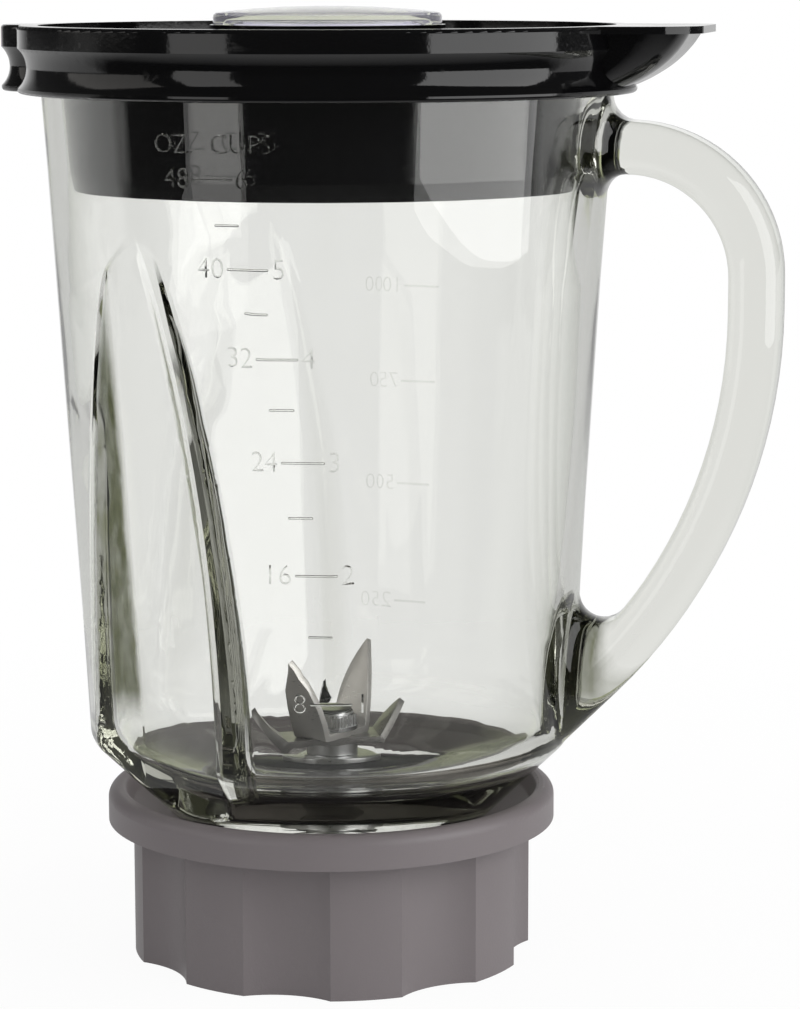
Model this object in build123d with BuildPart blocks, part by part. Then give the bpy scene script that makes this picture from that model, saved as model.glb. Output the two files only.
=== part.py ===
from build123d import *
from math import atan2, cos, hypot, radians, sin, tan
import os

os.makedirs("parts", exist_ok=True)

# Millimetres. The origin is on the jar's axis at the bench, +Z is up and the handle is on +X.

# Clearances
running_fit = 0.05       # shaft in its bushings and seal
seat_gap = 0.3           # between pieces that lift or turn apart
end_float = 0.1          # between the stacked rings under the housing
lid_clearance = 0.8      # plug skirt to the inside of the glass

# Screw collar
skirt_height = 32.7
skirt_wall = 6.7         # round the socket, between the scallops
scallop_count = 8
scallop_radius = 21.0
scallop_depth = 3.9
flange_overhang = 6.0    # flange outside the skirt
flange_height = 8.0
flange_round = 2.6
dish_rim = 4.2           # width of the flange's top edge outside the dish
dish_depth = 4.6
dish_slant = 1.6         # run of the dish's steep side
dish_round = 1.0
dish_clearance = 1.5     # screw tube's top below the neck's top
moat_width = 3.6         # between the screw tube and the skirt
socket_step = 0.7        # shoulder at the top of the socket
tube_wall = 3.0
ledge_thickness = 2.5
ledge_bore = 25.5

# Glass jar
neck_radius = 34.0
neck_wall = 6.5
neck_length = 11.0
neck_drop = 2.7          # top of the neck below the top of the collar's skirt
corner_radius = 58.2
funnel_height = 23.6
wall_height = 165.7
rim_radius = 68.3
wall = 4.6
neck_round = 3.0
corner_round = 5.0
floor_rise = 15.0        # inside edge of the neck above the neck's top
floor_slope = 15.0       # degrees, fall of the thick glass floor towards the neck
inner_corner_round = 12.0
rim_round = 1.6
spout_reach = 75.2
spout_radius = 13.5
spout_depth = 15.0
spout_slope = 26.0       # degrees, the lip's flare

# Flutes pressed into the jar's wall, one on each side of the pouring lip
flute_angle = 125.0      # degrees round from the handle
flute_mouth = 80.0       # the tool's outer face, outside the wall
flute_draft = 30.0       # degrees, slope of the side walls
flute_round = 4.0
flute_edge_round = 3.0
flute_foot = 0.8         # share of the funnel's height that the flutes run down
flute_sections = (       # rise above the corner, depth, half width of the floor on the two sides, lean
    (-flute_foot * funnel_height, 14.0, 13.0, 20.0, 0.0),
    (80.0, 4.6, 15.6, 9.0, 0.3),
    (130.0, -0.8, 8.0, 2.5, 1.2),
)

# Handle, fused with the jar in the mould
handle_drop = 23.7       # upper arm's middle line below the rim
handle_reach = 102.0
foot_rise = 9.4          # place where the lower arm meets the wall, above the jar's lower corner
elbow_rise = 44.0        # from there up to where the lines of the lower arm and the upright meet
grip_straight = 8.0      # straight stretch between the two bends
handle_bend = 30.0
handle_thickness = 12.2
handle_width = 20.0
handle_round = 5.2
handle_bury = 12.0       # how far both arms run in below the wall's face before it is hollowed
root_round = 6.0

# Lid
lid_overhang = 4.7       # rim of the lid outside the rim of the glass
lid_drop = 11.3          # rim of the lid below its seat on the glass
lid_band = 5.2           # height of the upright band at the rim's top
lid_waist = 1.7          # depth of the rim's concave waist
lid_flare = 4.0          # height from the lower edge to the narrowest line of the waist
lid_bead = 1.3
lid_wall = 2.2
lid_edge_round = 0.9
deck_thickness = 2.7
deck_recess = 1.7
deck_margin = 5.0        # width of the raised edge round the deck
plug_depth = 33.3
plug_wall = 2.5
plug_chamfer = 4.0
lobe_reach = 79.8
lobe_radius = 17.5
tab_reach = 90.3
tab_half_width = 25.0
tab_thickness = 1.7
tab_overhang = 3.2
tab_corner = 13.0
hull_belly = 82.3        # reach of the hull at its middle height
hull_taper = 1.6         # narrowing of the hull from each section to the one below
filler_bore = 24.8
filler_lip = 3.0
filler_drop = 6.0        # neck of the filler hole below the deck

# Filler cap
cap_radius = 27.0
cap_height = 4.3         # above the lid's top edge
cap_wall = 2.0
cap_skirt_depth = 17.0
cap_round = 1.2

# Cutter unit
gasket_thickness = 2.5
gasket_width = 5.2
base_flange_thickness = 3.0
base_shell = 2.6
spigot_gap = 0.4
spigot_height = 22.5     # plug of the housing inside the neck, above the flange
boss_radius = 11.0
boss_rise = 14.0         # foot of the boss above the flange's foot
boss_length = 18.5
dome_rise = 14.5         # top of the dome above the boss's foot
shaft_radius = 4.0
bushing_radius = 6.5
lower_bushing_length = 6.5
upper_bushing_length = 5.5
felt_length = 2.2
seal_radius = 8.4
cover_thickness = 1.0
cover_skirt = 3.5        # drawn side of the seal's cover, down the boss
ring_thickness = 1.0     # thrust washer and clip
clip_groove = 0.8
clip_radius = 6.8
thrust_radius = 9.0

# Blades
spacer_radius = 6.5
spacer_length = 3.9
blade_thickness = 1.6
blade_half_width = 5.4
tip_offset = 2.6         # the point lies ahead of the strip's middle line
edge_belly = 0.6         # bulge of the cutting edge past the strip's side
edge_hollow = 3.4        # hollow of the back edge
lower_turn = 20.7        # degrees round from the handle
lower_bend = 11.5        # distance of both bend lines from the axis
lower_slope = 51.0       # degrees, bend of both wings
lower_length = 10.3
upper_turn = 60.0
upper_bend = 7.0
upper_slope = 63.4
upper_length = 22.1
wing_belly_share = 0.55  # place of the cutting edge's bulge along a wing
wing_hollow_share = 0.5  # place of the back edge's hollow along a wing
blade_washer_radius = 6.6
blade_washer_thickness = 0.9
nut_width = 11.0         # across flats
nut_height = 2.6
nut_dome = 1.6
nut_round = 1.45

# Drive coupling
coupling_radius = 13.5
coupling_height = 13.2
drive_socket_radius = 9.4
drive_socket_depth = 7.5
drive_lugs = 6
drive_lug_radius = 1.7
insert_width = 13.0      # across flats
insert_height = 4.6

# Choice of edges: places along an edge, and how far it may lie from the outline it belongs to
edge_shares = (0, 0.25, 0.5, 0.75, 1)
edge_reach = 1.5

# Heights worked out from the stack that the collar draws together
neck_top = skirt_height - neck_drop
neck_foot = neck_top - neck_length
base_flange_top = neck_foot - gasket_thickness
ledge_top = base_flange_top - base_flange_thickness
socket_depth = ledge_top - ledge_thickness
corner_height = neck_top + funnel_height
rim_height = corner_height + wall_height
collar_top = skirt_height + flange_height
neck_bore = neck_radius - neck_wall
tube_bore = neck_radius + seat_gap
tube_radius = tube_bore + tube_wall
socket_radius = tube_radius + moat_width + socket_step
skirt_radius = socket_radius + skirt_wall
flange_radius = skirt_radius + flange_overhang
wall_slope = (rim_radius - corner_radius) / wall_height
funnel_slope = funnel_height / (corner_radius - neck_radius)


def wall_radius(height):
    """Outer radius of the jar's tapered wall at a height."""
    return corner_radius + (height - corner_height) * wall_slope


def ring(name, bore, radius, foot, height):
    """A plain ring about the axis: bushings, washers, felt, seal and sleeve."""
    with BuildPart() as made:
        with BuildSketch(Plane.XY.offset(foot)):
            Circle(radius)
            Circle(bore, mode=Mode.SUBTRACT)
        extrude(amount=height)
    made.part.label = name
    export_step(made.part, f"parts/{name}.step")


# Flute tool: level sections with sloping sides and a rounded floor, lofted from the funnel up to the
# place where the floor runs out through the wall. The floor leans in towards the handle's side, where
# it runs out last. Grown by the wall, the tool also shapes the inside.
def flute_tool(grow):
    a = radians(flute_angle)
    draft = tan(radians(flute_draft))
    with BuildPart() as tool:
        for rise, depth, handle_side, spout_side, lean in flute_sections:
            height = corner_height + rise
            floor = wall_radius(height) - depth - grow
            handle_spread = (flute_mouth - floor + lean) * draft
            spout_spread = (flute_mouth - floor - lean) * draft
            level = Plane(origin=(0, 0, height), x_dir=(sin(a), -cos(a), 0), z_dir=(0, 0, 1))
            with BuildSketch(level) as section:
                with BuildLine():
                    Polyline(
                        (-spout_side - grow, floor + lean),
                        (handle_side + grow, floor - lean),
                        (handle_side + grow + handle_spread, flute_mouth),
                        (-spout_side - grow - spout_spread, flute_mouth),
                        close=True,
                    )
                make_face()
                fillet(section.vertices().sort_by(SortBy.DISTANCE)[:2], flute_round + grow)
        loft()
        mirror(about=Plane.XZ)
    return tool.part


def outer_outline(height):
    """Outer radius of the jar, down the wall and the funnel."""
    return min(wall_radius(height), neck_radius + (height - neck_top) / funnel_slope)


def inner_outline(height):
    """Inner radius of the jar, down the wall to the glass floor."""
    return min(wall_radius(height) - wall, neck_bore + (height - floor_edge) / floor_fall)


def mouth_edges(edges, plain_edges, outline):
    """The curved edges along which the flutes meet the jar's round faces."""
    plain_middles = [edge @ 0.5 for edge in plain_edges]
    found = ShapeList()
    for edge in edges.filter_by(GeomType.CIRCLE, reverse=True):
        is_new = all((edge @ 0.5 - middle).length > end_float for middle in plain_middles)
        points = [edge @ share for share in edge_shares]
        if is_new and all(abs(hypot(p.X, p.Y) - outline(p.Z)) < edge_reach for p in points):
            found.append(edge)
    return found


# Inside of the glass: neck bore, funnel and tapered wall, with the flutes standing into it
floor_fall = tan(radians(floor_slope))
floor_edge = neck_top + floor_rise
floor_reach = corner_radius - wall - neck_bore
inner_corner = floor_edge + floor_reach * floor_fall
with BuildPart() as jar_inside:
    with BuildSketch(Plane.YZ):
        with BuildLine():
            FilletPolyline(
                (neck_bore, neck_foot),
                (neck_bore, floor_edge),
                (wall_radius(inner_corner) - wall, inner_corner),
                (rim_radius - wall, rim_height),
                radius=(neck_round, inner_corner_round),
            )
            Polyline(
                (rim_radius - wall, rim_height),
                (0, rim_height),
                (0, neck_foot),
                (neck_bore, neck_foot),
            )
        make_face()
    revolve(axis=Axis.Z)
    plain_edges = jar_inside.edges()
    add(flute_tool(wall), mode=Mode.SUBTRACT)
    fillet(mouth_edges(jar_inside.edges(), plain_edges, inner_outline), radius=flute_edge_round)
    with BuildSketch(Plane.XY.offset(rim_height)):
        with Locations((spout_radius - spout_reach, 0)):
            Circle(spout_radius - wall)
        with Locations(((spout_radius - spout_reach) / 2, 0)):
            Rectangle(spout_reach - spout_radius, 2 * (spout_radius - wall))
    extrude(amount=wall - spout_depth, taper=spout_slope)

# Glass jar: outside shape with its handle, flutes and pouring lip, then hollowed
def on_wall(edge):
    """True for an edge that lies on the jar's outer wall, below the rim."""
    points = [edge @ share for share in edge_shares]
    return all(
        hypot(p.X, p.Y) < wall_radius(p.Z) + seat_gap and corner_height < p.Z < rim_height - rim_round
        for p in points
    )


handle_top = rim_height - handle_drop
handle_foot = corner_height + foot_rise
handle_elbow = handle_foot + elbow_rise
upper_root = wall_radius(handle_top) - handle_bury
lower_root = corner_radius - handle_bury
arm_slope = elbow_rise / (handle_reach - corner_radius)
half_turn = atan2(handle_reach - corner_radius, elbow_rise) / 2
handle_sweep = (handle_top - handle_bend - grip_straight - handle_elbow) / tan(half_turn)
with BuildPart() as glass_jar:
    with BuildSketch(Plane.YZ):
        with BuildLine():
            FilletPolyline(
                (neck_radius, neck_foot),
                (neck_radius, neck_top),
                (corner_radius, corner_height),
                (rim_radius, rim_height),
                radius=(neck_round, corner_round),
            )
            Polyline(
                (rim_radius, rim_height),
                (0, rim_height),
                (0, neck_foot),
                (neck_radius, neck_foot),
            )
        make_face()
    revolve(axis=Axis.Z)
    with BuildLine(Plane.XZ) as grip_line:
        FilletPolyline(
            (upper_root, handle_top),
            (handle_reach, handle_top),
            (handle_reach, handle_elbow),
            (lower_root, handle_foot - handle_bury * arm_slope),
            radius=(handle_bend, handle_sweep),
        )
    with BuildSketch(Plane(origin=(upper_root, 0, handle_top), x_dir=(0, 1, 0), z_dir=(1, 0, 0))):
        RectangleRounded(handle_width, handle_thickness, handle_round)
    sweep(path=grip_line.line)
    root_edges = glass_jar.edges().filter_by(on_wall).filter_by(lambda edge: (edge @ 0.5).X > neck_radius)
    fillet(root_edges, radius=root_round)
    plain_edges = glass_jar.edges()
    add(flute_tool(0), mode=Mode.SUBTRACT)
    fillet(mouth_edges(glass_jar.edges(), plain_edges, outer_outline), radius=flute_edge_round)
    with BuildSketch(Plane.XY.offset(rim_height)):
        with Locations((spout_radius - spout_reach, 0)):
            Circle(spout_radius)
        with Locations(((spout_radius - spout_reach) / 2, 0)):
            Rectangle(spout_reach - spout_radius, 2 * spout_radius)
    extrude(amount=-spout_depth, taper=spout_slope)
    add(jar_inside.part, mode=Mode.SUBTRACT)
    fillet(glass_jar.edges().group_by(Axis.Z)[-1], radius=rim_round)
glass_jar.part.label = "glass_jar"
export_step(glass_jar.part, "parts/glass_jar.step")

# Lid: rim with a concave waist, lobe over the pouring lip, grip tab, plug skirt and filler hole
lid_radius = rim_radius + lid_overhang
lid_foot = rim_height - lid_drop
deck_top = rim_height + deck_thickness
lid_top = deck_top + deck_recess
lobe_centre = lobe_radius - lobe_reach
waist_depth = lid_waist + lid_wall
plug_foot = rim_height - plug_depth
plug_low_radius = wall_radius(plug_foot + plug_chamfer) - wall - lid_clearance
plug_top_radius = rim_radius - wall - lid_clearance
plug_bore = plug_low_radius - plug_wall
filler_neck = filler_bore + filler_lip
with BuildPart() as lid:
    for centre, radius in ((0, lid_radius), (lobe_centre, lobe_radius)):
        with BuildSketch(Plane.XZ.shift_origin((centre, 0, 0))):
            with BuildLine():
                FilletPolyline(
                    (0, lid_foot),
                    (radius, lid_foot),
                    (radius, lid_foot + lid_bead),
                    radius=lid_edge_round,
                )
                ThreePointArc(
                    (radius, lid_foot + lid_bead),
                    (radius - lid_waist, lid_foot + lid_flare),
                    (radius, lid_top - lid_band),
                )
                FilletPolyline(
                    (radius, lid_top - lid_band),
                    (radius, lid_top),
                    (0, lid_top),
                    radius=lid_edge_round,
                )
                Line((0, lid_top), (0, lid_foot))
            make_face()
        revolve(axis=Axis((centre, 0, 0), (0, 0, 1)))
    tab_root = lid_radius - tab_half_width
    hull_reach = tab_reach - tab_overhang
    hull_sections = (
        (lid_foot + lid_bead, lid_radius - lid_waist, tab_half_width - tab_overhang - 2 * hull_taper),
        ((lid_foot + lid_top) / 2, hull_belly, tab_half_width - tab_overhang - hull_taper),
        (lid_top - tab_thickness, hull_reach, tab_half_width - tab_overhang),
    )
    for height, reach, half_width in hull_sections:
        with BuildSketch(Plane.XY.offset(height)):
            with Locations(((tab_root + reach) / 2, 0)):
                RectangleRounded(reach - tab_root, 2 * half_width, tab_corner - tab_overhang)
    loft()
    with BuildSketch(Plane.XY.offset(lid_top - tab_thickness)):
        with Locations(((tab_root + tab_reach) / 2, 0)):
            RectangleRounded(tab_reach - tab_root, 2 * tab_half_width, tab_corner)
    extrude(amount=tab_thickness)
    with BuildSketch(Plane.XY.offset(lid_foot)):
        Circle(lid_radius - waist_depth)
        with Locations((lobe_centre, 0)):
            Circle(lobe_radius - waist_depth)
    extrude(amount=lid_drop, mode=Mode.SUBTRACT)
    with BuildSketch(Plane.XY.offset(deck_top)):
        Circle(lid_radius - deck_margin)
    extrude(amount=deck_recess, mode=Mode.SUBTRACT)
    with BuildSketch(Plane.XZ):
        with BuildLine():
            Polyline(
                (plug_bore, plug_foot),
                (plug_low_radius - plug_wall / 2, plug_foot),
                (plug_low_radius, plug_foot + plug_chamfer),
                (plug_top_radius, rim_height),
                (plug_top_radius, deck_top),
                (plug_bore, deck_top),
                close=True,
            )
        make_face()
    revolve(axis=Axis.Z)
    with BuildSketch(Plane.XY.offset(rim_height - filler_drop)):
        Circle(filler_neck)
    extrude(amount=lid_top - rim_height + filler_drop)
    with BuildSketch(Plane.XY.offset(rim_height - filler_drop)):
        Circle(filler_bore)
    extrude(amount=lid_top - rim_height + filler_drop, mode=Mode.SUBTRACT)
lid.part.label = "lid"
export_step(lid.part, "parts/lid.step")

# Filler cap: a clear cup, open below, whose flange rests on the lip of the lid's filler hole
cap_skirt_radius = filler_bore - seat_gap
cap_top = lid_top + cap_height
with BuildPart() as filler_cap:
    with BuildSketch(Plane.XZ):
        with BuildLine():
            FilletPolyline(
                (0, cap_top),
                (cap_radius, cap_top),
                (cap_radius, lid_top),
                (cap_skirt_radius, lid_top),
                (cap_skirt_radius, lid_top - cap_skirt_depth),
                (cap_skirt_radius - cap_wall, lid_top - cap_skirt_depth),
                (cap_skirt_radius - cap_wall, cap_top - cap_wall),
                (0, cap_top - cap_wall),
                radius=(cap_round, 0, 0, 0, 0, cap_round),
            )
            Line((0, cap_top - cap_wall), (0, cap_top))
        make_face()
    revolve(axis=Axis.Z)
filler_cap.part.label = "filler_cap"
export_step(filler_cap.part, "parts/filler_cap.step")

# Collar: scalloped skirt, rounded flange with a dish, screw tube and the ledge under the cutter base
dish_radius = flange_radius - dish_rim
dish_foot = neck_top - dish_clearance
moat_roof = dish_foot - tube_wall
with BuildPart() as collar:
    with BuildSketch(Plane.XZ):
        with BuildLine():
            FilletPolyline(
                (flange_radius, skirt_height),
                (flange_radius, collar_top),
                (dish_radius, collar_top),
                (dish_radius - dish_slant, collar_top - dish_depth),
                (tube_bore, dish_foot),
                radius=(flange_round, dish_round, dish_round),
            )
            Polyline(
                (tube_bore, dish_foot),
                (tube_bore, ledge_top),
                (ledge_bore, ledge_top),
                (ledge_bore, socket_depth),
                (tube_radius, socket_depth),
                (tube_radius, moat_roof),
                (socket_radius - socket_step, moat_roof),
                (socket_radius - socket_step, socket_depth),
                (socket_radius, socket_depth),
                (socket_radius, 0),
                (skirt_radius, 0),
                (skirt_radius, skirt_height),
                (flange_radius, skirt_height),
            )
        make_face()
    revolve(axis=Axis.Z)
    with BuildSketch():
        with PolarLocations(skirt_radius - scallop_depth + scallop_radius, scallop_count):
            Circle(scallop_radius)
    extrude(amount=skirt_height, mode=Mode.SUBTRACT)
collar.part.label = "collar"
export_step(collar.part, "parts/collar.step")

# Cutter base: sealing flange, locating ring, domed shell and the boss that holds the bushings
spigot_radius = neck_bore - spigot_gap
base_flange_radius = tube_bore - 2 * seat_gap
spigot_top = base_flange_top + spigot_height
boss_foot = ledge_top + boss_rise
boss_top = boss_foot + boss_length
dome_top = boss_foot + dome_rise
dome_slope = (dome_top - spigot_top) / (spigot_radius - boss_radius)
dome_drop = base_shell * hypot(1, dome_slope)
seal_foot = boss_foot + lower_bushing_length + felt_length + upper_bushing_length
with BuildPart() as cutter_base:
    with BuildSketch(Plane.XZ):
        with BuildLine():
            Polyline(
                (base_flange_radius, ledge_top),
                (base_flange_radius, base_flange_top),
                (spigot_radius, base_flange_top),
                (spigot_radius, spigot_top),
                (boss_radius, dome_top),
                (boss_radius, boss_top),
                (seal_radius, boss_top),
                (seal_radius, seal_foot),
                (bushing_radius, seal_foot),
                (bushing_radius, boss_foot),
                (boss_radius, boss_foot),
                (boss_radius, dome_top - dome_drop),
                (spigot_radius - base_shell, spigot_top + base_shell * dome_slope - dome_drop),
                (spigot_radius - base_shell, ledge_top),
                close=True,
            )
        make_face()
    revolve(axis=Axis.Z)
cutter_base.part.label = "cutter_base"
export_step(cutter_base.part, "parts/cutter_base.step")

# Rings of the cutter unit, from the gasket up the bearing to the seal's cover
shaft_bore = shaft_radius + running_fit
felt_foot = boss_foot + lower_bushing_length
thrust_foot = boss_foot - end_float - ring_thickness
clip_foot = thrust_foot - end_float - ring_thickness
cover_top = boss_top + cover_thickness
spacer_foot = cover_top + seat_gap
lower_blade_foot = spacer_foot + spacer_length
upper_blade_foot = lower_blade_foot + blade_thickness
blade_washer_foot = upper_blade_foot + blade_thickness
nut_foot = blade_washer_foot + blade_washer_thickness
ring("jar_gasket", spigot_radius + end_float, spigot_radius + gasket_width, base_flange_top, gasket_thickness)
ring("lower_bushing", shaft_bore, bushing_radius, boss_foot, lower_bushing_length)
ring("oil_felt", shaft_bore + seat_gap, bushing_radius, felt_foot, felt_length)
ring("upper_bushing", shaft_bore, bushing_radius, felt_foot + felt_length, upper_bushing_length)
ring("shaft_seal", shaft_bore, seal_radius, seal_foot, boss_top - seal_foot)
ring("thrust_washer", shaft_bore, thrust_radius, thrust_foot, ring_thickness)
ring("shaft_clip", shaft_radius - clip_groove, clip_radius, clip_foot, ring_thickness)
ring("blade_spacer", shaft_radius, spacer_radius, spacer_foot, spacer_length)
ring("blade_washer", shaft_radius, blade_washer_radius, blade_washer_foot, blade_washer_thickness)

# Seal cover: a drawn steel cup over the top of the boss
cover_bore = shaft_bore + seat_gap
cover_radius = boss_radius + end_float + cover_thickness
with BuildPart() as seal_cover:
    with BuildSketch(Plane.XZ):
        with BuildLine():
            FilletPolyline(
                (cover_bore, cover_top),
                (cover_radius, cover_top),
                (cover_radius, boss_top - cover_skirt),
                radius=cover_thickness,
            )
            Polyline(
                (cover_radius, boss_top - cover_skirt),
                (boss_radius + end_float, boss_top - cover_skirt),
                (boss_radius + end_float, boss_top),
                (cover_bore, boss_top),
                (cover_bore, cover_top),
            )
        make_face()
    revolve(axis=Axis.Z)
seal_cover.part.label = "seal_cover"
export_step(seal_cover.part, "parts/seal_cover.step")

# Drive coupling: a socket with round lugs, a hex steel insert in its web
coupling_top = clip_foot - end_float
coupling_foot = coupling_top - coupling_height
insert_foot = coupling_foot + drive_socket_depth
with BuildPart() as drive_coupling:
    with BuildSketch(Plane.XY.offset(coupling_foot)):
        Circle(coupling_radius)
    extrude(amount=coupling_height)
    with BuildSketch(Plane.XY.offset(coupling_foot)):
        Circle(drive_socket_radius)
        with PolarLocations(drive_socket_radius, drive_lugs):
            Circle(drive_lug_radius, mode=Mode.SUBTRACT)
    extrude(amount=drive_socket_depth, mode=Mode.SUBTRACT)
    with BuildSketch(Plane.XY.offset(insert_foot)):
        RegularPolygon(insert_width / 2, 6, major_radius=False)
    extrude(amount=insert_height, mode=Mode.SUBTRACT)
    with BuildSketch(Plane.XY.offset(insert_foot)):
        Circle(shaft_radius)
    extrude(amount=coupling_top - insert_foot, mode=Mode.SUBTRACT)
drive_coupling.part.label = "drive_coupling"
export_step(drive_coupling.part, "parts/drive_coupling.step")

with BuildPart() as coupling_insert:
    with BuildSketch(Plane.XY.offset(insert_foot)):
        RegularPolygon(insert_width / 2, 6, major_radius=False)
        Circle(shaft_radius, mode=Mode.SUBTRACT)
    extrude(amount=insert_height)
coupling_insert.part.label = "coupling_insert"
export_step(coupling_insert.part, "parts/coupling_insert.step")

# Shaft: from the insert to the nut, with the groove for its clip
with BuildPart() as drive_shaft:
    with BuildSketch(Plane.XY.offset(insert_foot)):
        Circle(shaft_radius)
    extrude(amount=nut_foot + nut_height - insert_foot)
    with BuildSketch(Plane.XY.offset(clip_foot)):
        Circle(shaft_radius)
        Circle(shaft_radius - clip_groove, mode=Mode.SUBTRACT)
    extrude(amount=ring_thickness, mode=Mode.SUBTRACT)
drive_shaft.part.label = "drive_shaft"
export_step(drive_shaft.part, "parts/drive_shaft.step")

# Cap nut: hex with a domed top, closed over the shaft's end
with BuildPart() as cap_nut:
    with BuildSketch(Plane.XY.offset(nut_foot)):
        RegularPolygon(nut_width / 2, 6, major_radius=False)
        Circle(shaft_radius, mode=Mode.SUBTRACT)
    extrude(amount=nut_height)
    with BuildSketch(Plane.XY.offset(nut_foot + nut_height)):
        Circle(nut_width / 2)
    extrude(amount=nut_dome)
    fillet(cap_nut.edges().group_by(Axis.Z)[-1], radius=nut_round)
cap_nut.part.label = "cap_nut"
export_step(cap_nut.part, "parts/cap_nut.step")


# Blades: a flat strip on the shaft, each end bent to its own slope and ground to a curved point
def blade(name, foot, first_turn, bend_radius, slope, length):
    middle = foot + blade_thickness / 2
    with BuildPart() as made:
        for turn in (first_turn, first_turn + 180):
            a = radians(turn)
            outward = Vector(cos(a), sin(a), 0)
            across = Vector(-sin(a), cos(a), 0)
            along = outward * cos(radians(slope)) + Vector(0, 0, sin(radians(slope)))
            normal = along.cross(across)
            bend = outward * bend_radius + Vector(0, 0, middle)
            with BuildSketch(Plane(origin=(0, 0, foot), x_dir=outward, z_dir=(0, 0, 1))):
                with Locations((bend_radius / 2, 0)):
                    Rectangle(bend_radius, 2 * blade_half_width)
            extrude(amount=blade_thickness)
            with BuildSketch(Plane(origin=bend, x_dir=outward, z_dir=across)):
                Circle(blade_thickness / 2)
            extrude(amount=blade_half_width, both=True)
            under = bend - normal * (blade_thickness / 2)
            with BuildSketch(Plane(origin=under, x_dir=along, z_dir=normal)):
                tip = (length, tip_offset)
                belly = (length * wing_belly_share, blade_half_width + edge_belly)
                hollow = (length * wing_hollow_share, edge_hollow - blade_half_width)
                with BuildLine():
                    Line((0, -blade_half_width), (0, blade_half_width))
                    ThreePointArc((0, blade_half_width), belly, tip)
                    ThreePointArc(tip, hollow, (0, -blade_half_width))
                make_face()
            extrude(amount=blade_thickness)
        with BuildSketch(Plane.XY.offset(foot)):
            Circle(shaft_radius)
        extrude(amount=blade_thickness, mode=Mode.SUBTRACT)
    made.part.label = name
    export_step(made.part, f"parts/{name}.step")


blade("lower_blade", lower_blade_foot, lower_turn, lower_bend, lower_slope, lower_length)
blade("upper_blade", upper_blade_foot, upper_turn, upper_bend, upper_slope, upper_length)
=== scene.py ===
from math import cos, pi, radians, sin

import bpy
from mathutils import Matrix


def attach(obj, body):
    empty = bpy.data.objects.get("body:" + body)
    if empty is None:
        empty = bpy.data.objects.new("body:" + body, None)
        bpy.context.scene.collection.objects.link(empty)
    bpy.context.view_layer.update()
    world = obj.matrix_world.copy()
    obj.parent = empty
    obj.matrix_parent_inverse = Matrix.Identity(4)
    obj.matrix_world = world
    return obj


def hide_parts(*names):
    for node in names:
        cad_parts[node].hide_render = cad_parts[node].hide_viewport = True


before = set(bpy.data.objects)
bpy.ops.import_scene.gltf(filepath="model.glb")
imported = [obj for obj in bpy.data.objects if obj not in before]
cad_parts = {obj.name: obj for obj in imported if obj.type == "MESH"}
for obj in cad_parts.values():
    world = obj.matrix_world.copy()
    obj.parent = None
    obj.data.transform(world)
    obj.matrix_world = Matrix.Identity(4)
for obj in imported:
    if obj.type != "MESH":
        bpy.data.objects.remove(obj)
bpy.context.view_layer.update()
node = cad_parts


# Studio: a white sweep behind the jar, a softbox on each side of the lens and a card on the left.
# What is seen straight or through glass is the white sweep; what is mirrored is the dim room.
class Tone:
    """One value in a material's nodes, with sums, products and other steps written as Python maths."""

    def __init__(self, tree, socket=None):
        self.tree = tree
        self.socket = socket

    def node(self, kind, settings=None, inputs=None, out=0):
        """Adds any node: its settings first, then the values or links of its sockets."""
        made = self.tree.nodes.new(kind)
        for name, value in (settings or {}).items():
            setattr(made, name, value)
        for name, value in (inputs or {}).items():
            if isinstance(value, Tone):
                self.tree.links.new(value.socket, made.inputs[name])
            else:
                made.inputs[name].default_value = value
        return Tone(self.tree, made.outputs[out])

    def feed(self, place):
        """Links this value to a shader's socket."""
        self.tree.links.new(self.socket, place)

    def step(self, operation, first, second):
        return self.node("ShaderNodeMath", {"operation": operation}, {0: first, 1: second})

    def __add__(self, other):
        return self.step("ADD", self, other)

    def __sub__(self, other):
        return self.step("SUBTRACT", self, other)

    def __rsub__(self, other):
        return self.step("SUBTRACT", other, self)

    def __mul__(self, other):
        return self.step("MULTIPLY", self, other)

    def __truediv__(self, other):
        return self.step("DIVIDE", self, other)

    def __pow__(self, other):
        return self.step("POWER", self, other)

    __radd__ = __add__
    __rmul__ = __mul__

    def most(self, other):
        return self.step("MAXIMUM", self, other)

    def least(self, other):
        return self.step("MINIMUM", self, other)

    def rise(self, low, high):
        """0 below the low value, 1 above the high one and a straight rise between."""
        return ((self - low) / (high - low)).most(0.0).least(1.0)

    def mix(self, first, second):
        """A colour or a direction between two, by this value."""
        settings = {"data_type": "RGBA"}
        return self.node("ShaderNodeMix", settings, {0: self, 6: first, 7: second}, out=2)

    def bump(self, strength, distance):
        """A normal from this value as a height."""
        inputs = {"Height": self, "Strength": strength, "Distance": distance}
        return self.node("ShaderNodeBump", inputs=inputs)

    def vector(self, operation, inputs=None, out=0):
        """A step of vector maths on this place or direction."""
        return self.node("ShaderNodeVectorMath", {"operation": operation}, {0: self, **(inputs or {})}, out)

    def axis(self, name):
        """One part of this place or direction."""
        return self.node("ShaderNodeSeparateXYZ", inputs={0: self}, out=name)

    def rearward(self, turn):
        """How far back this place lies from the axis, for someone who stands turned round it."""
        return self.axis("Y") * cos(turn) - self.axis("X") * sin(turn)

    def stretch(self, scale):
        """This place with each axis scaled, so that a pattern on it is drawn out."""
        return self.node("ShaderNodeMapping", inputs={"Vector": self, "Scale": scale})

    def noise(self, scale, detail, distortion=0.0):
        """An uneven pattern on this place."""
        inputs = {"Vector": self, "Scale": scale, "Detail": detail, "Distortion": distortion}
        return self.node("ShaderNodeTexNoise", inputs=inputs)

    def ray(self, kind):
        """One output of the light path: what kind of ray this is, or how often it was turned."""
        return self.node("ShaderNodeLightPath", out=kind)

    def shown(self):
        """1 for what is seen straight, through glass or mirrored, and 0 for light on matt surfaces."""
        straight = self.ray("Is Camera Ray")
        return straight.most(self.ray("Is Transmission Ray")).most(self.ray("Is Glossy Ray"))


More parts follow.
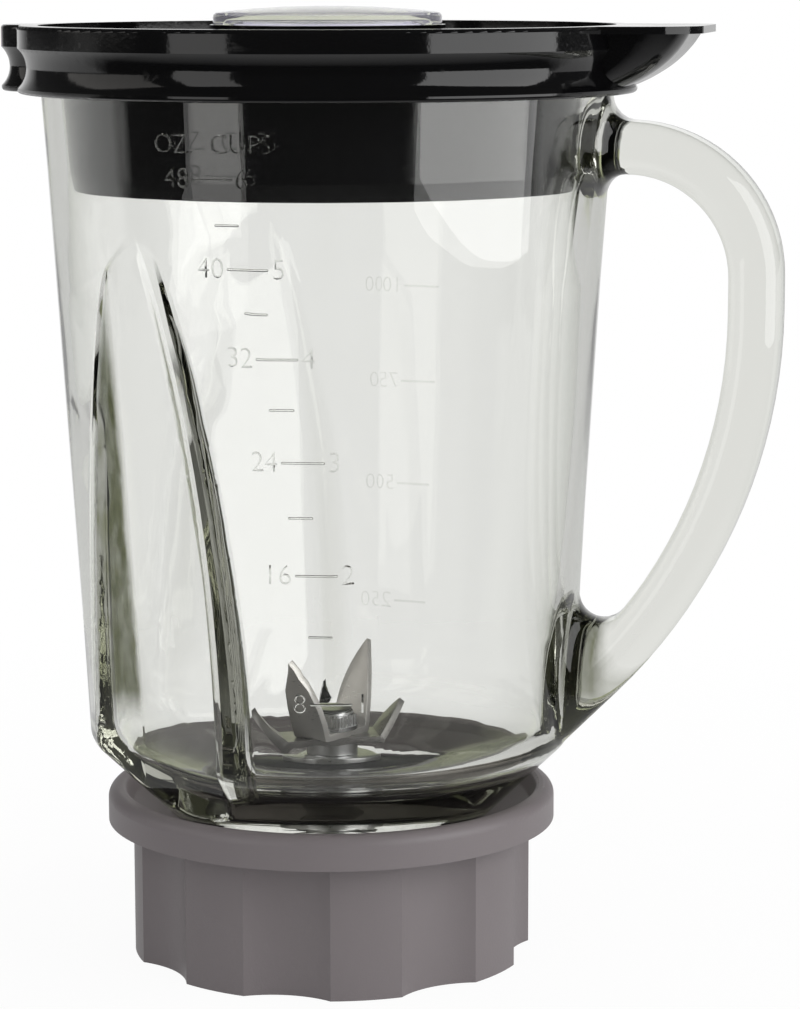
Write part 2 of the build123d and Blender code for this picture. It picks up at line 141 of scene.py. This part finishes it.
def solid(name):
    """A new material; returns it, the place on the piece that its nodes start from, and its shader."""
    made = bpy.data.materials.new(name)
    made.use_nodes = True
    place = Tone(made.node_tree).node("ShaderNodeTexCoord", out="Object")
    return made, place, made.node_tree.nodes["Principled BSDF"]


camera_turn = radians(13.0)
white = (1, 1, 1, 1)
room_fill = 0.75
room_dark = 0.05
deep_tone = 0.13
deep_turns = (6.0, 10.0)
sweep_side = (0.80, 0.97)
sweep_top = (0.12, 0.42)
guided_olive = (0.76, 0.80, 0.54, 1)


def by_turn(mirrored):
    """White for light that came straight or through glass, this value once mirrored, dim after many turns."""
    value = 1 + (mirrored - 1) * mirrored.ray("Glossy Depth").least(1.0)
    return value + (deep_tone - value) * value.ray("Ray Depth").rise(*deep_turns)


scene = bpy.context.scene
scene.view_settings.view_transform = "Standard"
scene.cycles.max_bounces = 48
scene.cycles.transmission_bounces = 48
scene.cycles.glossy_bounces = 24
world = bpy.data.worlds.new("room")
scene.world = world
world.use_nodes = True
background = world.node_tree.nodes["Background"]
toward = Tone(world.node_tree).node("ShaderNodeTexCoord", out="Generated")
sweep = toward.rearward(camera_turn).rise(*sweep_side) * (1 - toward.axis("Z").rise(*sweep_top))
shown = toward.shown()
strength = by_turn(sweep * (1 - room_dark) + room_dark) * shown + (1 - shown) * room_fill
strength.feed(background.inputs["Strength"])
guided = toward.ray("Glossy Depth").least(1.0) * toward.ray("Transmission Depth").least(1.0)
guided.mix(white, guided_olive).feed(background.inputs["Color"])

floor_size = 12.0
shadow_keep = 0.06
shadow_reach = (0.1, 0.4)
table_mirrored = 0.7
table_reach = (0.10, 0.34)
table_front = 0.12
bpy.ops.object.select_all(action="DESELECT")
bpy.ops.mesh.primitive_plane_add(size=floor_size, location=(0, 0, 0))
floor = bpy.context.object
floor.name = "floor"
floor_paint, place, shader = solid("white sweep")
shader.inputs["Base Color"].default_value = (0.9, 0.9, 0.9, 1)
shader.inputs["Roughness"].default_value = 0.9
shader.inputs["Specular IOR Level"].default_value = 0.0
far = place.vector("LENGTH", out="Value")
in_front = (table_front - place.rearward(camera_turn)).rise(0.0, table_front)
table_edge = 1 - far.rise(*table_reach) * in_front * (1 - room_dark)
strength = by_turn(table_edge * table_mirrored)
glow = place.node("ShaderNodeEmission", inputs={"Color": white, "Strength": strength})
paper = Tone(place.tree, shader.outputs[0])
share = place.shown() * (1 - (1 - far.rise(*shadow_reach)) * shadow_keep)
mixed = place.node("ShaderNodeMixShader", inputs={0: share, 1: paper, 2: glow})
mixed.feed(place.tree.nodes["Material Output"].inputs["Surface"])
floor.data.materials.append(floor_paint)

# Each lamp has its turn from the lens in degrees, width, foot, height, radiance and tint, and whether matt
# surfaces take its light.
lamp_distance = 0.8
lamps = (
    ("left softbox", -45.5, 0.31, 0.010, 0.800, 1.30, (1.0, 0.99, 0.98), False),
    ("right softbox", 61.5, 0.80, 0.028, 0.782, 2.50, (1.0, 1.00, 1.00), True),
    ("left card", -90.0, 0.60, 0.220, 0.600, 0.75, (1.0, 0.97, 0.93), False),
)
for name, turn, width, foot, height, radiance, tint, on_matt in lamps:
    lamp = bpy.data.lights.new(name, "AREA")
    lamp.shape = "RECTANGLE"
    lamp.size = width
    lamp.size_y = height
    lamp.energy = radiance * pi * width * height
    lamp.color = tint
    stand = bpy.data.objects.new(name, lamp)
    scene.collection.objects.link(stand)
    around = camera_turn + radians(turn)
    stand.location = (lamp_distance * sin(around), -lamp_distance * cos(around), foot + height / 2)
    stand.rotation_euler = (pi / 2, 0, around)
    stand.visible_camera = False
    stand.visible_diffuse = on_matt

lens_distance = 0.786
lens_height = 0.2363
lens_pitch = radians(9.2)
lens_yaw = radians(1.23)
lens_roll = radians(-0.10)
image_rows = 1009
focal_rows = 3300
camera = bpy.data.cameras.new("lens")
camera.sensor_width = 36.0
camera.lens = focal_rows / image_rows * camera.sensor_width
camera.clip_start = 0.05
tripod = bpy.data.objects.new("lens", camera)
scene.collection.objects.link(tripod)
aim = Matrix.Rotation(camera_turn - lens_yaw, 4, "Z")
tilt = Matrix.Rotation(pi / 2 - lens_pitch, 4, "X")
held = aim @ tilt @ Matrix.Rotation(lens_roll, 4, "Z")
lens_place = (lens_distance * sin(camera_turn), -lens_distance * cos(camera_turn), lens_height)
tripod.matrix_world = Matrix.Translation(lens_place) @ held
scene.camera = tripod


# Jar: one piece of pressed glass with its handle, pouring lip, flutes and screw neck.
# The mould leaves faint upright waves, and the thick parts show the olive of the glass.
# Where the surface is seen edge-on, the glass's colour carries a painted dark olive shade.
# Painted shade streaks the front flute's sides olive; the rear flute is softer and bends light like the plain
# wall.
def dress(names, material):
    """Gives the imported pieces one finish."""
    for name in names:
        node[name].data.materials.clear()
        node[name].data.materials.append(material)


pale_glass = (0.985, 0.988, 0.980, 1)
rim_painted_shade = (0.36, 0.40, 0.30, 1)
flute_painted_shade = (0.110, 0.120, 0.060, 1)
thick_glass = (0.51, 0.515, 0.43, 1)
thick_density = 24.0
rim_power = 3.6
flute_turn = radians(13.0)
flute_foot = (0.060, 0.068)
flute_head = (0.180, 0.190)
flute_reach = (0.066, 0.070)
flute_slant = (0.08, 0.34)
front_middle = (-0.01, 0.01)
rear_keep = 0.05
rear_start = (0.015, 0.035)
rear_foot = (0.050, 0.056)
rear_slant = (0.03, 0.15)
rear_ease = 0.9
shade_streak_keep = 0.75
jar_glass, place, shader = solid("jar_glass")
waved = place.stretch((1.0, 1.0, 0.22)).noise(52.0, 1.0).bump(0.25, 0.0008)
height = place.axis("Z")
behind = place.rearward(flute_turn)
rear_wall = behind.rise(*rear_start)
under_head = 1 - height.rise(*flute_head)
level = place.vector("MULTIPLY", {1: (1.0, 1.0, 0.0)})
outward = level.vector("NORMALIZE")
axis_off = level.vector("LENGTH", out="Value")
normal = place.node("ShaderNodeTexCoord", out="Normal")
square = outward.vector("DOT_PRODUCT", {1: normal}, out="Value")
slant = 1 - square * square
rear_flute = rear_wall * slant.rise(*rear_slant) * rear_ease * height.rise(*rear_foot) * under_head
plain = outward.vector("SCALE", {"Scale": square.step("SIGN", square, 0.0)})
rear_flute.mix(waved, plain).vector("NORMALIZE").feed(shader.inputs["Normal"])
# Painted shade: the glass's colour turns dark olive where the surface is seen edge-on, less on the rear wall.
facing = place.node("ShaderNodeLayerWeight", inputs={"Blend": 0.5}, out="Facing")
glass_and_rim_shade = (facing ** rim_power * (1 - rear_wall * rear_ease)).mix(pale_glass, rim_painted_shade)
# Painted shade: dark olive streaks on the front flute's sides, only faint on the rear flute, in the glass's
# colour.
on_wall = height.rise(*flute_foot) * under_head * (1 - axis_off.rise(*flute_reach))
front_share = rear_keep + (1 - rear_keep) * (1 - behind.rise(*front_middle))
shade_streaks = place.stretch((1.0, 1.0, 0.12)).noise(420.0, 2.0).rise(0.35, 0.65)
flute_shade_mask = slant.rise(*flute_slant) * on_wall * front_share * (shade_streak_keep + shade_streaks * (1 - shade_streak_keep))
flute_shade_mask.mix(glass_and_rim_shade, flute_painted_shade).feed(shader.inputs["Base Color"])
shader.inputs["Roughness"].default_value = 0.0
shader.inputs["IOR"].default_value = 1.5
shader.inputs["Transmission Weight"].default_value = 1.0
thick = place.node("ShaderNodeVolumeAbsorption", inputs={"Color": thick_glass, "Density": thick_density})
thick.feed(place.tree.nodes["Material Output"].inputs["Volume"])
dress(["glass_jar"], jar_glass)
node["glass_jar"].visible_shadow = False

# Measure marks: a slanting column of raised lines and figures pressed in the jar's front wall,
# ounces on the left and cups on the right, and a column of millilitres at the back.
# The lines, and all that stands before the black plug, are prouder than the other figures.
mark_glass = jar_glass.copy()
mark_glass.name = "mark_glass"
mark_glass.node_tree.nodes["Principled BSDF"].inputs["IOR"].default_value = 1.35
faint_glass = jar_glass.copy()
faint_glass.name = "faint_glass"
shader = faint_glass.node_tree.nodes["Principled BSDF"]
faint_glass.node_tree.links.remove(shader.inputs["Base Color"].links[0])
shader.inputs["Base Color"].default_value = (0.90, 0.905, 0.89, 1)
shader.inputs["IOR"].default_value = 1.17
faint_proud = 0.00006
plug_proud = 0.00030
line_proud = 0.00030
line_round = 0.00020
round_steps = 3
round_angle = radians(40.0)
smooth_line = radians(35.0)
sunk_share = 0.5
plug_foot = 0.186
wall_foot = 0.0582
wall_start = 0.0536
wall_lean = 0.06095
line_width = 0.00054
line_pieces = 8
capital_share = 0.72
curve_steps = 3
stroke_trim = -0.00010


def press(pieces, name, turn, height, proud, glass, rounded=0.0):
    """Joins flat marks drawn about the origin, lays them on the jar's wall and raises them from it."""
    bpy.ops.object.select_all(action="DESELECT")
    for piece in pieces:
        piece.select_set(True)
    bpy.context.view_layer.objects.active = pieces[0]
    if len(pieces) > 1:
        bpy.ops.object.join()
    made = bpy.context.object
    made.name = name
    around = radians(turn)
    reach = wall_foot + (height - wall_start) * wall_lean + 2 * proud
    stand = Matrix.Translation((reach * cos(around), reach * sin(around), height))
    upright = Matrix.Rotation(around + pi / 2, 4, "Z") @ Matrix.Rotation(pi / 2, 4, "X")
    made.data.transform(stand @ upright)
    wrap = made.modifiers.new("on the wall", "SHRINKWRAP")
    wrap.target = node["glass_jar"]
    wrap.wrap_method = "NEAREST_SURFACEPOINT"
    wrap.wrap_mode = "ABOVE_SURFACE"
    wrap.offset = proud
    raised = made.modifiers.new("raised", "SOLIDIFY")
    raised.thickness = proud * (1 + sunk_share)
    raised.offset = -1.0
    bpy.ops.object.modifier_apply(modifier="on the wall")
    bpy.ops.object.modifier_apply(modifier="raised")
    if rounded:
        soft = made.modifiers.new("rounded", "BEVEL")
        soft.width = rounded
        soft.segments = round_steps
        soft.limit_method = "ANGLE"
        soft.angle_limit = round_angle
        bpy.ops.object.modifier_apply(modifier="rounded")
        bpy.ops.object.shade_smooth_by_angle(angle=smooth_line)
    made.data.materials.clear()
    made.data.materials.append(glass)
    made.visible_shadow = False
    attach(made, "jar")


def line(length):
    """A flat line across the wall."""
    bpy.ops.object.select_all(action="DESELECT")
    bpy.ops.mesh.primitive_grid_add(
        x_subdivisions=line_pieces, y_subdivisions=1, size=1.0, location=(0, 0, 0)
    )
    made = bpy.context.object
    made.data.transform(Matrix.Diagonal((length, line_width, 1, 1)))
    return made


def figures(words, edge, align, size):
    """Flat figures, with one edge at a place along the wall."""
    bpy.ops.object.select_all(action="DESELECT")
    bpy.ops.object.text_add(location=(0, 0, 0))
    made = bpy.context.object
    made.data.body = words
    made.data.size = size / capital_share
    made.data.align_x = align
    made.data.align_y = "CENTER"
    made.data.resolution_u = curve_steps
    made.data.offset = stroke_trim
    bpy.ops.object.convert(target="MESH")
    made = bpy.context.object
    made.data.transform(Matrix.Translation((edge, 0, 0)))
    return made


long_line = 0.0098
short_line = 0.0056
figure_gap = 0.0006
figure_height = 0.0048
marks = (
    ("48", "6", 0.1909, -99.8),
    ("", "", 0.1810, -96.9),
    ("40", "5", 0.1713, -92.9),
    ("", "", 0.1615, -91.4),
    ("32", "4", 0.1515, -87.5),
    ("", "", 0.1402, -86.6),
    ("24", "3", 0.1283, -82.5),
    ("", "", 0.1158, -83.1),
    ("16", "2", 0.1026, -79.9),
    ("", "", 0.0885, -79.2),
    ("8", "1", 0.0728, -77.0),
)
for number, (ounces, cups, height, turn) in enumerate(marks):
    length = long_line if ounces else short_line
    press([line(length)], f"front_line_{number:02d}", turn, height, line_proud, mark_glass, line_round)
    if ounces:
        edge = length / 2 + figure_gap
        left = figures(ounces, -edge, "RIGHT", figure_height)
        right = figures(cups, edge, "LEFT", figure_height)
        proud, glass = (plug_proud, mark_glass) if height > plug_foot else (faint_proud, faint_glass)
        press([left, right], f"front_mark_{number:02d}", turn, height, proud, glass)

heading_gap = 0.0020
heading_height = 0.0045
heading_turn = -101.5
heading_place = 0.1985
left = figures("OZ.", -heading_gap, "RIGHT", heading_height)
right = figures("CUPS", heading_gap, "LEFT", heading_height)
press([left, right], "front_heading", heading_turn, heading_place, plug_proud, mark_glass)

rear_height = 0.0042
rear_marks = (("1000", 0.1565, 80.0), ("750", 0.1320, 80.5), ("500", 0.1056, 81.0), ("250", 0.0750, 81.5))
for amount, height, turn in rear_marks:
    press([line(long_line)], f"rear_line_{amount}", turn, height, faint_proud, faint_glass)
    number = figures(amount, long_line / 2 + figure_gap, "LEFT", rear_height)
    press([number], f"rear_mark_{amount}", turn, height, faint_proud, faint_glass)

# Lid: glossy black moulding that plugs the jar, with a lobe over the pouring lip and a grip tab.
# Its polish carries a fine orange peel, thin smears and a few hairline scratches.
lid_black, place, shader = solid("lid_black")
smear = place.noise(34.0, 5.0)
peel = place.noise(900.0, 1.0)
scratch = place.stretch((60.0, 900.0, 400.0)).noise(1.0, 3.0).rise(0.66, 0.72)
smear.mix((0.0016, 0.0016, 0.0018, 1), (0.0032, 0.0032, 0.0035, 1)).feed(shader.inputs["Base Color"])
(smear.rise(0.45, 0.75) * 0.10 + scratch * 0.12 + 0.07).feed(shader.inputs["Roughness"])
(peel - scratch * 0.4).bump(0.05, 0.0002).feed(shader.inputs["Normal"])
dress(["lid"], lid_black)

# Filler cap: clear moulded cup that hangs in the lid's filler hole, with a low crown on its flange.
# The plastic is a little violet, with a fine haze of wear on its top.
cap_clear, place, shader = solid("cap_clear")
haze = place.noise(160.0, 6.0)
haze.mix((0.87, 0.86, 0.98, 1), (0.94, 0.93, 0.99, 1)).feed(shader.inputs["Base Color"])
(haze.rise(0.5, 0.8) * 0.10 + 0.04).feed(shader.inputs["Roughness"])
haze.bump(0.04, 0.0003).feed(shader.inputs["Normal"])
shader.inputs["IOR"].default_value = 1.10
shader.inputs["Transmission Weight"].default_value = 0.82
dress(["filler_cap"], cap_clear)
crown_foot = 0.2266
crown_rise = 0.0014
crown_reach = 0.0258
crown_flat = 0.0020
crown_steps = 8
cap_sides = 96
cap_smooth = radians(30.0)
cap_rim = ((0.02640, 0.22645), (0.02685, 0.22600), (0.02700, 0.22540), (0.02700, 0.22378))
cap_skirt = ((0.02450, 0.22378), (0.02450, 0.20670), (0.02250, 0.20670), (0.02250, 0.22340))
cap_roof = ((0.02235, 0.22400), (0.02190, 0.22445), (0.02130, 0.22460))
crown = []
for step in range(crown_steps + 1):
    share = step / crown_steps
    reach = crown_flat + (crown_reach - crown_flat) * share
    crown.append((reach, crown_foot + crown_rise * (1 - share**2)))
profile = crown + list(cap_rim + cap_skirt + cap_roof)
bpy.ops.object.select_all(action="DESELECT")
bpy.ops.mesh.primitive_circle_add(
    vertices=cap_sides, radius=crown_flat, fill_type="NOTHING", location=(0, 0, 0)
)
made = bpy.context.object
made.name = "crowned_filler_cap"
bpy.ops.object.mode_set(mode="EDIT")
bpy.ops.mesh.select_all(action="SELECT")
bpy.ops.transform.translate(value=(0, 0, profile[0][1]))
for (reach, height), (wider, onward) in zip(profile, profile[1:]):
    bpy.ops.mesh.extrude_region_move(TRANSFORM_OT_translate={"value": (0, 0, onward - height)})
    bpy.ops.transform.resize(value=(wider / reach, wider / reach, 1), center_override=(0, 0, onward))
bpy.ops.mesh.select_all(action="SELECT")
bpy.ops.mesh.fill_holes(sides=0)
bpy.ops.mesh.select_all(action="SELECT")
bpy.ops.mesh.normals_make_consistent(inside=False)
bpy.ops.object.mode_set(mode="OBJECT")
bpy.ops.object.shade_smooth_by_angle(angle=cap_smooth)
made.data.materials.append(cap_clear)
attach(made, "filler_cap")
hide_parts("filler_cap")

# Collar: satin grey moulding with a scalloped skirt, screwed on the jar's neck.
# The mould gives it a fine even grain.
collar_grey, place, shader = solid("collar_grey")
grain = place.noise(2400.0, 2.0)
cloud = place.noise(30.0, 3.0)
cloud.mix((0.156, 0.137, 0.142, 1), (0.178, 0.158, 0.163, 1)).feed(shader.inputs["Base Color"])
(grain * 0.12 + cloud * 0.06 + 0.36).feed(shader.inputs["Roughness"])
grain.bump(0.18, 0.0002).feed(shader.inputs["Normal"])
dress(["collar"], collar_grey)

# Cutter unit: black bearing housing in the neck, sealed by a rubber gasket and a lip seal.
# Its bearing is a pair of sintered bronze bushings with an oiled felt between them and a nylon washer below.
base_black, place, shader = solid("base_black")
grain = place.noise(1400.0, 3.0)
cloud = place.noise(60.0, 4.0)
cloud.mix((0.003, 0.003, 0.003, 1), (0.006, 0.006, 0.006, 1)).feed(shader.inputs["Base Color"])
(cloud * 0.15 + grain * 0.1 + 0.20).feed(shader.inputs["Roughness"])
grain.bump(0.10, 0.0002).feed(shader.inputs["Normal"])
shader.inputs["Specular IOR Level"].default_value = 0.15
dress(["cutter_base"], base_black)

rubber, place, shader = solid("rubber")
dust = place.noise(220.0, 6.0)
dust.mix((0.010, 0.010, 0.011, 1), (0.030, 0.029, 0.028, 1)).feed(shader.inputs["Base Color"])
(dust * 0.25 + 0.5).feed(shader.inputs["Roughness"])
dust.bump(0.2, 0.0003).feed(shader.inputs["Normal"])
dress(["jar_gasket", "shaft_seal"], rubber)

bronze, place, shader = solid("bronze")
pores = place.node("ShaderNodeTexVoronoi", inputs={"Vector": place, "Scale": 2600.0}, out="Distance")
stain = place.noise(180.0, 5.0)
stain.mix((0.42, 0.27, 0.14, 1), (0.62, 0.43, 0.24, 1)).feed(shader.inputs["Base Color"])
(pores * 0.3 + 0.3).feed(shader.inputs["Roughness"])
pores.bump(0.3, 0.0002).feed(shader.inputs["Normal"])
shader.inputs["Metallic"].default_value = 1.0
dress(["upper_bushing", "lower_bushing"], bronze)

felt, place, shader = solid("felt")
fibre = place.noise(1500.0, 6.0, 2.5)
oiled = place.noise(300.0, 2.0)
tone = (fibre * 0.6 + oiled * 0.4).mix((0.36, 0.31, 0.22, 1), (0.72, 0.68, 0.58, 1))
tone.feed(shader.inputs["Base Color"])
(fibre * 0.2 + 0.75).feed(shader.inputs["Roughness"])
fibre.bump(0.8, 0.0006).feed(shader.inputs["Normal"])
dress(["oil_felt"], felt)

nylon, place, shader = solid("nylon")
milk = place.noise(260.0, 3.0)
milk.mix((0.74, 0.73, 0.67, 1), (0.86, 0.85, 0.80, 1)).feed(shader.inputs["Base Color"])
(milk * 0.2 + 0.35).feed(shader.inputs["Roughness"])
milk.bump(0.08, 0.0003).feed(shader.inputs["Normal"])
dress(["thrust_washer"], nylon)

# Rotor: turned steel shaft with its sleeve, washer, nut and clip, and a hex insert in the black coupling.
# The tool leaves fine rings round the axis; the seal's cover is drawn from bright sheet.
turned_steel, place, shader = solid("turned_steel")
rings = place.node(
    "ShaderNodeTexWave",
    {"wave_type": "RINGS", "rings_direction": "Z"},
    {"Vector": place, "Scale": 900.0, "Distortion": 1.5, "Detail": 2.0},
)
soil = place.noise(120.0, 4.0)
soil.mix((0.50, 0.50, 0.51, 1), (0.66, 0.66, 0.67, 1)).feed(shader.inputs["Base Color"])
(rings * 0.10 + soil * 0.12 + 0.16).feed(shader.inputs["Roughness"])
rings.bump(0.06, 0.0001).feed(shader.inputs["Normal"])
shader.inputs["Metallic"].default_value = 1.0
dress(["seal_cover", "drive_shaft", "shaft_clip", "coupling_insert"], turned_steel)
dress(["blade_spacer", "blade_washer", "cap_nut"], turned_steel)
dress(["drive_coupling"], base_black)

# Blades: two strips of stainless sheet, bent up at their ends and ground to points.
# The grinding runs across each wing, and the edges are bright steel with a painted highlight.
bright_edge_and_highlight, place, shader = solid("bright_edge_and_highlight")
nicks = place.noise(1800.0, 3.0)
nicks.mix((0.66, 0.66, 0.65, 1), (0.84, 0.84, 0.83, 1)).feed(shader.inputs["Base Color"])
(nicks * 0.25 + 0.12).feed(shader.inputs["Roughness"])
nicks.bump(0.2, 0.0001).feed(shader.inputs["Normal"])
shader.inputs["Metallic"].default_value = 1.0

steel_warmth = (1.0, 0.97, 0.94)
weld = 0.000005
flat_angle = radians(2.0)
edge_width = 0.0005
edge_steps = 2
edge_angle = radians(40.0)
blade_smooth = radians(30.0)
# The lower blade's steel is set darker than the upper blade's: painted shade on the same stainless sheet.
for name, dark_tone_and_shade, pale_tone_and_shade in (("lower_blade", 0.24, 0.32), ("upper_blade", 0.50, 0.66)):
    ground_steel_and_shade, place, shader = solid(f"ground_steel_and_shade_{name}")
    lines = place.stretch((300.0, 300.0, 4200.0)).noise(1.0, 4.0)
    soil = place.noise(140.0, 3.0)
    dark_steel_and_shade = (*(dark_tone_and_shade * part for part in steel_warmth), 1)
    pale_steel_and_shade = (*(pale_tone_and_shade * part for part in steel_warmth), 1)
    soil.mix(dark_steel_and_shade, pale_steel_and_shade).feed(shader.inputs["Base Color"])
    (lines * 0.2 + soil * 0.1 + 0.16).feed(shader.inputs["Roughness"])
    lines.bump(0.06, 0.0001).feed(shader.inputs["Normal"])
    shader.inputs["Metallic"].default_value = 0.75
    made = bpy.data.objects.new(f"ground_{name}", node[name].data.copy())
    scene.collection.objects.link(made)
    bpy.ops.object.select_all(action="DESELECT")
    made.select_set(True)
    bpy.context.view_layer.objects.active = made
    bpy.ops.mesh.customdata_custom_splitnormals_clear()
    bpy.ops.object.mode_set(mode="EDIT")
    bpy.ops.mesh.select_all(action="SELECT")
    bpy.ops.mesh.remove_doubles(threshold=weld)
    bpy.ops.mesh.dissolve_limited(angle_limit=flat_angle)
    bpy.ops.object.mode_set(mode="OBJECT")
    made.data.materials.clear()
    made.data.materials.append(ground_steel_and_shade)
    made.data.materials.append(bright_edge_and_highlight)
    ground = made.modifiers.new("ground edge", "BEVEL")
    ground.width = edge_width
    ground.segments = edge_steps
    ground.limit_method = "ANGLE"
    ground.angle_limit = edge_angle
    # The bevelled edges take the brighter steel, partly a painted highlight.
    ground.material = 1
    bpy.ops.object.modifier_apply(modifier="ground edge")
    bpy.ops.object.shade_smooth_by_angle(angle=blade_smooth)
    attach(made, "rotor")
    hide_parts(name)
